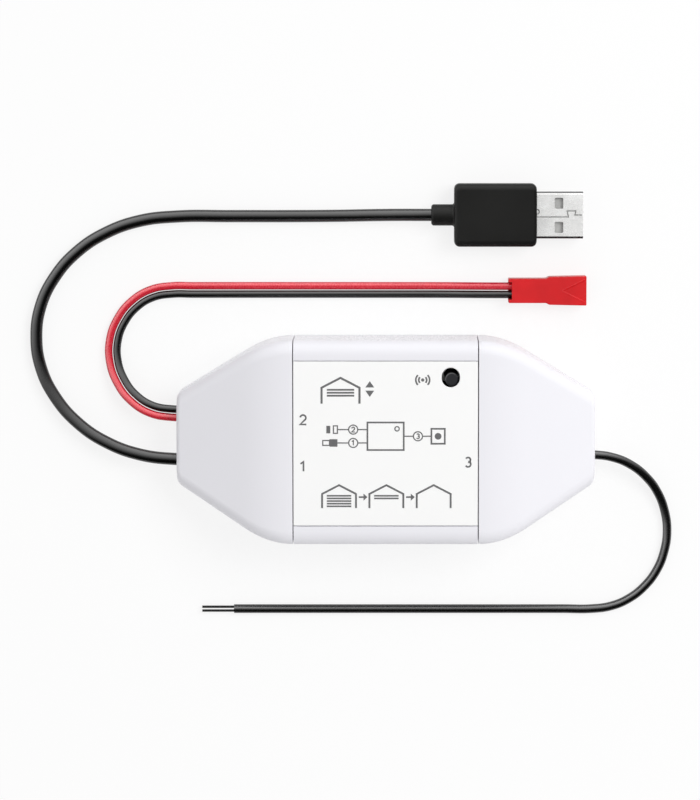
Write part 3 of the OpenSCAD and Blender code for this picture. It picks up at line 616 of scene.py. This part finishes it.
grip_corner = [GRIP_CORNER_R * (1 - math.sqrt(1 - s**2)) for s in quarter(GRIP_STEPS)]
grip = mesh_object("plug_grip", *skin([grip_ring(GRIP_X + v) for v in grip_corner]
                                      + [grip_ring(USB_X - v) for v in reversed(grip_corner)]))
collar_edge = [(COLLAR_X + COLLAR_EDGE * (1 - math.sqrt(1 - s**2)), COLLAR_R - COLLAR_EDGE * (1 - s))
               for s in quarter(COLLAR_STEPS)]
collar_flare = [(GRIP_X - COLLAR_FLARE * (1 - s), COLLAR_R + COLLAR_FLARE * (1 - math.sqrt(1 - s**2)))
                for s in quarter(COLLAR_STEPS)]
collar = lathe("tool", collar_edge + collar_flare + [(GRIP_X + PAST, COLLAR_R + COLLAR_FLARE)],
               lambda a, u, v: (a, PLUG_Y + u, PLUG_Z + v))
carve(grip, [collar], "UNION")
pocket = rounded(SHELL_HALF[0], PLUG_Z - SHELL_HALF[1], PLUG_Z + SHELL_HALF[1], SHELL_R, SHELL_R)
carve(grip, [mesh_object("tool", *skin([[(x, PLUG_Y + y, z) for y, z in pocket]
                                        for x in (USB_X - SHELL_HELD, USB_X + PAST)]))])
finish_piece(grip, GRIP_BLACK, ["usb_overmold"])


# Sensor connector

CONNECTOR_Y = 37.6
CONNECTOR_H = 5.6
CONNECTOR_R = 0.25
CONNECTOR_HALF = [(31.6, 3.15), (41.3, 3.15), (42.1, 3.6), (51.7, 3.8)]
NOTCH_X = 32.5
NOTCH_W = 4.5
WIRE_END_X = 35.0
SOCKET_X = (43.6, 51.7)
SOCKET_HALF = (3.05, 2.1)
CONTACT_X = 37.5
CONTACT_D = 1.0
ARROW_X = 45.3
ARROW_HALF = 3.4
ARROW_FALL = math.tan(math.radians(3))
RIDGE_W = 0.5
RIDGE_H = 0.12
RIDGE_ROOT = 0.4

connector_low_x = CONNECTOR_HALF[0][0]
connector_end = CONNECTOR_HALF[-1][0]
connector_z = CONNECTOR_H / 2
connector_outline = ([(x, CONNECTOR_Y - y) for x, y in CONNECTOR_HALF]
                     + [(x, CONNECTOR_Y + y) for x, y in reversed(CONNECTOR_HALF)])
connector = soft_prism("connector_body", connector_outline, 0, CONNECTOR_H, CONNECTOR_R)
arrow_l = connector_end + PAST - ARROW_X
arrow_half = ARROW_HALF * arrow_l / (connector_end - ARROW_X)
arrow_floor = [(ARROW_X, CONNECTOR_Y, CONNECTOR_H),
               (ARROW_X + arrow_l, CONNECTOR_Y - arrow_half, CONNECTOR_H - arrow_l * ARROW_FALL),
               (ARROW_X + arrow_l, CONNECTOR_Y + arrow_half, CONNECTOR_H - arrow_l * ARROW_FALL)]
connector_tools = [
    box((SOCKET_X[0], CONNECTOR_Y - SOCKET_HALF[0], connector_z - SOCKET_HALF[1]),
        (SOCKET_X[1] + PAST, CONNECTOR_Y + SOCKET_HALF[0], connector_z + SOCKET_HALF[1])),
    box((connector_low_x - PAST, CONNECTOR_Y - NOTCH_W / 2, connector_z),
        (NOTCH_X, CONNECTOR_Y + NOTCH_W / 2, CONNECTOR_H + PAST)),
    mesh_object("tool", *skin([arrow_floor, [(x, y, CONNECTOR_H + PAST) for x, y, _ in arrow_floor]])),
]
for y in (CONNECTOR_Y - SENSOR_PITCH / 2, CONNECTOR_Y + SENSOR_PITCH / 2):
    connector_tools.append(rod((connector_low_x - PAST, y, connector_z), (WIRE_END_X, y, connector_z),
                               SENSOR_D + 2 * CORD_SLIP))
    connector_tools.append(rod((CONTACT_X, y, connector_z), (SOCKET_X[0] + PAST, y, connector_z), CONTACT_D))
carve(connector, connector_tools)


def ridge(start, end):
    """A low roof-shaped bar on the connector's face."""
    start, end = Vector(start), Vector(end)
    across = (end - start).normalized().orthogonal() * RIDGE_W / 2
    section = [(-1, -RIDGE_ROOT), (1, -RIDGE_ROOT), (1, 0), (0, RIDGE_H), (-1, 0)]
    rings = [[(*(p + across * s), CONNECTOR_H + h) for s, h in section] for p in (start, end)]
    return mesh_object("tool", *skin(rings))


ridge_ends = [(connector_end - RIDGE_W, CONNECTOR_Y + s * (ARROW_HALF - RIDGE_W)) for s in (-1, 1)]
carve(connector, [ridge((ARROW_X, CONNECTOR_Y), end) for end in ridge_ends], "UNION")
finish_piece(connector, CONNECTOR_RED, ["sensor_connector"])


# Print on the panel: plain numbers and pictograms

INK_LOW = BODY_T - 0.02
INK_TOP = BODY_T + 0.03
INK_STEP = 0.0005
LINE_W = 0.42
THIN_W = 0.3
MITRE_LEAST = 0.5
ARC_STEP = 12
ARC_STEPS_LEAST = 6


class Ink:
    """Thin raised strokes and areas drawn in X and Y."""

    def __init__(self):
        self.points = []
        self.faces = []
        self.top = INK_TOP

    def prism(self, rim):
        """An area inside a rim of points."""
        points, faces = skin([[(x, y, z) for x, y in rim] for z in (INK_LOW, self.top)])
        self.faces += [tuple(i + len(self.points) for i in face) for face in faces]
        self.points += points
        self.top += INK_STEP

    def stroke(self, path, width=LINE_W, closed=False):
        """A line of even width with mitred corners."""
        path = [Vector(p) for p in path]
        count = len(path)
        left, right = [], []
        for i, point in enumerate(path):
            back = point - path[i - 1] if closed or i else None
            ahead = path[(i + 1) % count] - point if closed or i < count - 1 else None
            back = (back if back is not None else ahead).normalized()
            ahead = (ahead if ahead is not None else back).normalized()
            bisector = (back + ahead).normalized()
            across = Vector((-bisector.y, bisector.x)) * width / 2 / max(bisector.dot(ahead), MITRE_LEAST)
            left.append(tuple(point + across))
            right.append(tuple(point - across))
        if closed:
            for i in range(count):
                j = (i + 1) % count
                self.prism([right[i], right[j], left[j], left[i]])
                self.top -= INK_STEP
            self.top += INK_STEP
        else:
            self.prism(right + left[::-1])

    def arc(self, centre, radius, start, end, width=LINE_W):
        self.stroke(turned(centre, radius, start, end), width)

    def circle(self, centre, radius, width=LINE_W):
        self.stroke(turned(centre, radius, 0, 360)[:-1], width, closed=True)

    def disc(self, centre, radius):
        self.prism(turned(centre, radius, 0, 360)[:-1])

    def block(self, low, high):
        self.prism([low, (high[0], low[1]), high, (low[0], high[1])])

    def frame(self, low, high, width=LINE_W):
        self.stroke([low, (high[0], low[1]), high, (low[0], high[1])], width, closed=True)


def turned(centre, radius, start, end):
    """Points on an arc given in degrees."""
    steps = max(ARC_STEPS_LEAST, int(abs(end - start) / ARC_STEP))
    return [(centre[0] + radius * math.cos(math.radians(a)), centre[1] + radius * math.sin(math.radians(a)))
            for a in even(start, end, steps)]


def moved(path, at, size):
    """A path of unit size, enlarged and put at a place."""
    return [(at[0] + x * size, at[1] + y * size) for x, y in path]


NUMERALS = {
    1: [(-0.28, 0.28), (0.04, 0.5), (0.04, -0.5)],
    2: turned((0, 0.2), 0.3, 170, -35) + [(-0.3, -0.5), (0.34, -0.5)],
    3: turned((0, 0.25), 0.25, 150, -70) + turned((0, -0.22), 0.28, 70, -150),
}


# Shares of a garage's width, and of the pitch of its slats
EAVES = 0.42
GABLE = 0.26
OUTLINE_W = 0.055
LINTEL = 0.03
DOOR_W = 0.72
SLATS = 5
SLAT_DROP = 0.32
SLAT_HALF = 0.3


def garage(ink, at, width, opening):
    """A garage front with its slatted door raised by a share of its height."""
    x, low = at
    half = width / 2
    eaves = low + width * EAVES
    front = [(x - half, low), (x - half, eaves), (x, eaves + width * GABLE), (x + half, eaves),
             (x + half, low)]
    ink.stroke(front, width * OUTLINE_W)
    door = half * DOOR_W
    lintel = eaves - width * LINTEL
    pitch = (lintel - low) / SLATS
    for i in range(round(SLATS * (1 - opening))):
        y = lintel - i * pitch - pitch * SLAT_DROP
        ink.block((x - door, y - pitch * SLAT_HALF), (x + door, y + pitch * SLAT_HALF))


MARK_SIZE = 1.6
MARK_HALF = 0.7


def mark(ink, at, up):
    """A filled triangle that points up or down."""
    half = MARK_SIZE * MARK_HALF
    tip = MARK_SIZE if up else -MARK_SIZE
    rim = [(at[0] - half, at[1]), (at[0] + half, at[1]), (at[0], at[1] + tip)]
    ink.prism(rim if up else rim[::-1])


TAG_R = 1.15
TAG_NUMERAL = 1.05


def numbered(ink, number, at):
    """A number in a ring."""
    ink.circle(at, TAG_R, THIN_W)
    ink.stroke(moved(NUMERALS[number], at, TAG_R * TAG_NUMERAL), THIN_W)


ink = Ink()

# Radio waves beside the button
WAVES_AT = (9.4, 16.2)
WAVES_DOT_R = 0.42
WAVES_R = (1.0, 1.75)
WAVES_HALF = 45
ink.disc(WAVES_AT, WAVES_DOT_R)
for radius in WAVES_R:
    for middle in (0, 180):
        ink.arc(WAVES_AT, radius, middle - WAVES_HALF, middle + WAVES_HALF)

# Garage whose door goes up and down
TITLE_AT = (-11.4, 10.2)
TITLE_W = 9.6
TITLE_OPENING = 0.4
UP_AT = (-4.0, 14.3)
DOWN_AT = (-4.0, 13.5)
garage(ink, TITLE_AT, TITLE_W, TITLE_OPENING)
mark(ink, UP_AT, True)
mark(ink, DOWN_AT, False)

# Wiring: the controller, its power plug and sensor on the left and the wall button on the right
BOX_LOW, BOX_HIGH = (-4.6, -1.6), (4.6, 5.4)
BOX_BUTTON_AT = (2.9, 3.8)
BOX_BUTTON_R = 0.55
PRINT_PLUG_Y, PRINT_SENSOR_Y, PRINT_WALL_Y = 0.2, 3.6, 1.9
LEFT_END = -12.2
RIGHT_END = 11.6
TAG_X = 8.2
ICON_HALF = 0.95
PLUG_ICON_X = -14.2
PLUG_TIP = (-15.9, 0.62)
SENSOR_ICON_X = -13.2
MAGNET_X = (-15.0, -14.0)
WALL_ICON_X = 15.0
WALL_ICON_HALF = 1.9
WALL_DOT_R = 0.85
ink.frame(BOX_LOW, BOX_HIGH)
ink.circle(BOX_BUTTON_AT, BOX_BUTTON_R, THIN_W)
for number, y, end, body_x, tag_x in ((1, PRINT_PLUG_Y, LEFT_END, BOX_LOW[0], -TAG_X),
                                      (2, PRINT_SENSOR_Y, LEFT_END, BOX_LOW[0], -TAG_X),
                                      (3, PRINT_WALL_Y, RIGHT_END, BOX_HIGH[0], TAG_X)):
    inner = tag_x + math.copysign(TAG_R, body_x - tag_x)
    outer = tag_x + math.copysign(TAG_R, end - tag_x)
    ink.stroke([(body_x, y), (inner, y)], THIN_W)
    ink.stroke([(outer, y), (end, y)], THIN_W)
    numbered(ink, number, (tag_x, y))
ink.block((PLUG_ICON_X, PRINT_PLUG_Y - ICON_HALF), (LEFT_END, PRINT_PLUG_Y + ICON_HALF))
ink.frame((PLUG_TIP[0], PRINT_PLUG_Y - PLUG_TIP[1]), (PLUG_ICON_X, PRINT_PLUG_Y + PLUG_TIP[1]), THIN_W)
ink.frame((SENSOR_ICON_X, PRINT_SENSOR_Y - ICON_HALF), (LEFT_END, PRINT_SENSOR_Y + ICON_HALF), THIN_W)
ink.block((MAGNET_X[0], PRINT_SENSOR_Y - ICON_HALF), (MAGNET_X[1], PRINT_SENSOR_Y + ICON_HALF))
ink.frame((RIGHT_END, PRINT_WALL_Y - WALL_ICON_HALF), (WALL_ICON_X, PRINT_WALL_Y + WALL_ICON_HALF))
ink.disc(((RIGHT_END + WALL_ICON_X) / 2, PRINT_WALL_Y), WALL_DOT_R)

# The door shut, half way and open, with arrows between
STATES = ((-11.8, 0.0), (0.2, 0.5), (12.2, 1.0))
STATES_Y = -16.4
STATES_W = 8.6
NEXT_X = (-5.8, 6.2)
NEXT_Y = -13.6
NEXT_TAIL = (-1.0, 0.3)
NEXT_HEAD = (0.2, 1.2)
NEXT_HALF = 0.9
for x, opening in STATES:
    garage(ink, (x, STATES_Y), STATES_W, opening)
for x in NEXT_X:
    ink.stroke([(x + NEXT_TAIL[0], NEXT_Y), (x + NEXT_TAIL[1], NEXT_Y)])
    ink.prism([(x + NEXT_HEAD[0], NEXT_Y - NEXT_HALF), (x + NEXT_HEAD[1], NEXT_Y),
               (x + NEXT_HEAD[0], NEXT_Y + NEXT_HALF)])

# Numbers beside the cords
NUMBER_X = 20.9
NUMBER_SIZE = 2.4
for number, at in ((1, (-NUMBER_X, POWER_Y)), (2, (-NUMBER_X, SENSOR_Y)), (3, (NUMBER_X, SIGNAL_Y))):
    ink.stroke(moved(NUMERALS[number], at, NUMBER_SIZE))

finish_piece(mesh_object("panel_print", ink.points, ink.faces), PRINT_GREY)


# Cords: the routes of the solids, in millimetres. The inner route has x, z and half the gap of two cores

POWER_ROUTE = [
    (-41, -5.8, 6.5), (-54, -5.8, 6.5), (-63.4, -4.7, 6), (-72.2, -1.6, 4.9), (-79.7, 3.3, 3.5),
    (-85.5, 9.8, 2.4), (-89.2, 17.3, 1.8), (-90.4, 25.4, 1.7), (-89.2, 33.5, 1.7), (-85.5, 41, 1.7),
    (-79.7, 47.5, 1.7), (-72.2, 52.4, 1.7), (-63.4, 55.5, 1.7), (-54, 56.6, 1.7), (-40, 56.7, 1.7),
    (-25, 56.7, 1.7), (-12, 56.8, 1.9), (-3, 57, 2.7), (4, 57.1, 3.6), (8.7, 57.1, 4), (11.7, 57.1, 4),
]
SENSOR_ROUTE = [
    (-34, 6.1, 10.4), (-34.7, 6.1, 10.4), (-36.4, 6.1, 9.8), (-38.1, 6.1, 8.4), (-39.8, 6.1, 7),
    (-41.5, 6.1, 6.5), (-55.1, 6.1, 6.5), (-60.4, 7, 5.9), (-65.1, 9.8, 4.6), (-68.5, 14, 3),
    (-70.4, 19.1, 1.6), (-70.4, 24.6, 1.1), (-68.5, 29.7, 1.1), (-65.1, 33.9, 1.1), (-60.4, 36.7, 1.1),
    (-55.1, 37.6, 1.1), (-50, 37.6, 1.1), (4, 37.6, 1.1), (15, 37.6, 1.3), (24, 37.6, 2.3),
    (31, 37.6, 2.8), (35, 37.6, 2.8),
]
SIGNAL_ROUTE = [
    (41, -4.7, 6.5), (54, -4.7, 6.5), (58.6, -5.4, 6.1), (63.3, -7.4, 5.1), (67.4, -10.7, 3.8),
    (70.5, -14.9, 2.4), (72.4, -19.8, 1.5), (73.1, -25.1, 1.2), (72.4, -30.4, 1.2), (70.5, -35.3, 1.2),
    (67.4, -39.5, 1.2), (63.3, -42.8, 1.2), (58.6, -44.8, 1.2), (53.5, -45.5, 1.2), (46, -45.5, 1.2),
    (-39.5, -45.5, 1.2),
]
INNER_ROUTE = [
    (41, 6.5, 0.7), (40.2, 6.5, 0.7), (38.6, 7.4, 0.85), (37, 9.4, 1.1), (35.2, 10.4, 1.25), (34, 10.4, 1.25),
]
INNER_CORE_D = 1.1
CORD_BEVEL_STEPS = 5
CORD_LENGTH_STEPS = 8


def beside(route, shift):
    """The same route moved sideways by a level distance."""
    shifted = []
    for i, point in enumerate(route):
        ahead = Vector(route[min(i + 1, len(route) - 1)]) - Vector(route[max(i - 1, 0)])
        left = Vector((-ahead.y, ahead.x, 0)).normalized()
        shifted.append(tuple(Vector(point) + shift * left))
    return shifted


def cord_curve(name, route, diameter, material, slot):
    """A smooth round cord through the points of a route in millimetres."""
    data = bpy.data.curves.new(name, "CURVE")
    data.dimensions = "3D"
    data.bevel_depth = diameter / 2 * MM
    data.bevel_resolution = CORD_BEVEL_STEPS
    data.resolution_u = CORD_LENGTH_STEPS
    data.use_fill_caps = True
    spline = data.splines.new("BEZIER")
    spline.bezier_points.add(len(route) - 1)
    for knot, point in zip(spline.bezier_points, route):
        knot.co = mm(*point)
        knot.handle_left_type = "AUTO"
        knot.handle_right_type = "AUTO"
    data.materials.append(material)
    cord = bpy.data.objects.new(name, data)
    scene.collection.objects.link(cord)
    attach(cord, HOUSING)
    return cord


def free_cord(name, node, route, diameter, material, slot):
    """A cord that leaves the housing, in place of the cord's solid."""
    cord = cord_curve(name, route, diameter, material, slot)
    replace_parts(cord, node)


free_cord("power_lead", "power_cord", POWER_ROUTE, POWER_D, CORD_BLACK, "cord_jacket")
free_cord("red_wire", "sensor_wire_red", beside(SENSOR_ROUTE, SENSOR_PITCH / 2), SENSOR_D, CORD_RED,
          "red_jacket")
free_cord("black_wire", "sensor_wire_black", beside(SENSOR_ROUTE, -SENSOR_PITCH / 2), SENSOR_D, CORD_BLACK,
          "cord_jacket")
free_cord("signal_lead", "signal_cable", SIGNAL_ROUTE, SIGNAL_D, CABLE_BLACK, "cord_jacket")

for node, side, y, material, slot in (("power_cores", -1, POWER_Y, CORD_RED, "red_jacket"),
                                      ("signal_inner_cores", 1, SIGNAL_Y, CORD_BLACK, "cord_jacket")):
    for label, sign in (("a", -1), ("b", 1)):
        route = [(side * x, y + sign * gap, z) for x, z, gap in INNER_ROUTE]
        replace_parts(cord_curve(f"{node}_{label}", route, INNER_CORE_D, material, slot), node)


# Floor and light

FLOOR_HALF = 6.0
FLOOR_DROP = 0.05
FLOOR_WHITE = 0.97
FLOOR_ROUGHNESS = 0.9
FLOOR_GLOW = 0.8
WORLD_LIGHT = 0.6

floor_material = bpy.data.materials.new("floor")
floor_material.use_nodes = True
floor_nodes = floor_material.node_tree.nodes
floor_links = floor_material.node_tree.links
floor_bsdf = floor_nodes["Principled BSDF"]
floor_bsdf.inputs["Base Color"].default_value = (FLOOR_WHITE, FLOOR_WHITE, FLOOR_WHITE, 1)
floor_bsdf.inputs["Roughness"].default_value = FLOOR_ROUGHNESS
floor_bsdf.inputs["Specular IOR Level"].default_value = 0.0


def seen_rays(nodes, links):
    """1 on rays that show the background: from the camera, in reflections and through glass."""
    path = nodes.new("ShaderNodeLightPath")
    total = path.outputs["Is Camera Ray"]
    for name in ("Is Glossy Ray", "Is Transmission Ray"):
        larger = nodes.new("ShaderNodeMath")
        larger.operation = "MAXIMUM"
        links.new(total, larger.inputs[0])
        links.new(path.outputs[name], larger.inputs[1])
        total = larger.outputs["Value"]
    return total


glow = floor_nodes.new("ShaderNodeEmission")
share = floor_nodes.new("ShaderNodeMath")
share.operation = "MULTIPLY"
share.inputs[1].default_value = FLOOR_GLOW
floor_mix = floor_nodes.new("ShaderNodeMixShader")
floor_links.new(seen_rays(floor_nodes, floor_links), share.inputs[0])
floor_links.new(share.outputs["Value"], floor_mix.inputs["Fac"])
floor_links.new(floor_bsdf.outputs["BSDF"], floor_mix.inputs[1])
floor_links.new(glow.outputs["Emission"], floor_mix.inputs[2])
floor_links.new(floor_mix.outputs["Shader"], floor_nodes["Material Output"].inputs["Surface"])

floor_corners = [(-FLOOR_HALF, -FLOOR_HALF, 0), (FLOOR_HALF, -FLOOR_HALF, 0), (FLOOR_HALF, FLOOR_HALF, 0),
                 (-FLOOR_HALF, FLOOR_HALF, 0)]
floor_mesh = bpy.data.meshes.new("floor")
floor_mesh.from_pydata(floor_corners, [], [(0, 1, 2, 3)])
floor_mesh.materials.append(floor_material)
floor = bpy.data.objects.new("floor", floor_mesh)
floor.location.z = -FLOOR_DROP * MM
scene.collection.objects.link(floor)

world = bpy.data.worlds.new("studio")
world.use_nodes = True
world_nodes = world.node_tree.nodes
world_links = world.node_tree.links
ambient = world_nodes["Background"]
ambient.inputs["Color"].default_value = (1, 1, 1, 1)
ambient.inputs["Strength"].default_value = WORLD_LIGHT
white = world_nodes.new("ShaderNodeBackground")
white.inputs["Strength"].default_value = 1.0
world_mix = world_nodes.new("ShaderNodeMixShader")
world_links.new(seen_rays(world_nodes, world_links), world_mix.inputs["Fac"])
world_links.new(ambient.outputs["Background"], world_mix.inputs[1])
world_links.new(white.outputs["Background"], world_mix.inputs[2])
world_links.new(world_mix.outputs["Shader"], world_nodes["World Output"].inputs["Surface"])
scene.world = world


def lamp(name, direction, distance, size, power):
    """A soft area lamp, width by height, that shines on the housing from a direction and isn't mirrored."""
    data = bpy.data.lights.new(name, "AREA")
    data.shape = "RECTANGLE"
    data.size, data.size_y = size
    data.energy = power
    made = bpy.data.objects.new(name, data)
    direction = Vector(direction).normalized()
    made.location = direction * distance
    made.rotation_euler = direction.to_track_quat("Z", "Y").to_euler()
    made.visible_glossy = False
    scene.collection.objects.link(made)


lamp("key", direction=(0.52, 0.30, 0.80), distance=1.2, size=(0.6, 0.6), power=6.85)
lamp("upper_strip", direction=(0.0, 0.998, 0.06), distance=1.0, size=(0.9, 0.1), power=1.2)

# A round sky that only reflections see: a soft box on the upper left, white overhead, dark on the lower right

SKY_RADIUS = 3.0
SKY_LOW = -0.01
SKY_SEGMENTS = (48, 24)
DARK_SIDE = Vector((0.5, -0.866, 0.0)).normalized()
DARK_EDGE = (-0.02, 0.24)
BOX_EDGE = (-0.02, -0.8)
BOX_LEVEL = 5.0

sky_mesh = bpy.data.meshes.new("sky")
sky_shape = bmesh.new()
bmesh.ops.create_uvsphere(sky_shape, u_segments=SKY_SEGMENTS[0], v_segments=SKY_SEGMENTS[1],
                          radius=SKY_RADIUS)
bmesh.ops.delete(sky_shape, geom=[v for v in sky_shape.verts if v.co.z < SKY_LOW], context="VERTS")
sky_shape.to_mesh(sky_mesh)
sky_shape.free()
sky_material = bpy.data.materials.new("sky")
sky_material.use_nodes = True
sky_nodes = sky_material.node_tree.nodes
sky_links = sky_material.node_tree.links
sky_nodes.remove(sky_nodes["Principled BSDF"])
sky_place = sky_nodes.new("ShaderNodeTexCoord")
towards_dark = sky_nodes.new("ShaderNodeVectorMath")
towards_dark.operation = "DOT_PRODUCT"
towards_dark.inputs[1].default_value = DARK_SIDE / SKY_RADIUS
sky_links.new(sky_place.outputs["Object"], towards_dark.inputs[0])


def sky_level(edge, levels):
    """Brightness that goes from one level to another across an edge of the sky."""
    change = sky_nodes.new("ShaderNodeMapRange")
    change.inputs["From Min"].default_value, change.inputs["From Max"].default_value = edge
    change.inputs["To Min"].default_value, change.inputs["To Max"].default_value = levels
    sky_links.new(towards_dark.outputs["Value"], change.inputs["Value"])
    return change.outputs["Result"]


sky_light = sky_nodes.new("ShaderNodeEmission")
sky_strength = sky_nodes.new("ShaderNodeMath")
sky_strength.operation = "MULTIPLY"
sky_links.new(sky_level(DARK_EDGE, (1.0, 0.0)), sky_strength.inputs[0])
sky_links.new(sky_level(BOX_EDGE, (1.0, BOX_LEVEL)), sky_strength.inputs[1])
sky_links.new(sky_strength.outputs["Value"], sky_light.inputs["Strength"])
sky_links.new(sky_light.outputs["Emission"], sky_nodes["Material Output"].inputs["Surface"])
sky_mesh.materials.append(sky_material)
sky = bpy.data.objects.new("sky", sky_mesh)
sky.visible_camera = False
sky.visible_diffuse = False
sky.visible_transmission = False
sky.visible_shadow = False
scene.collection.objects.link(sky)
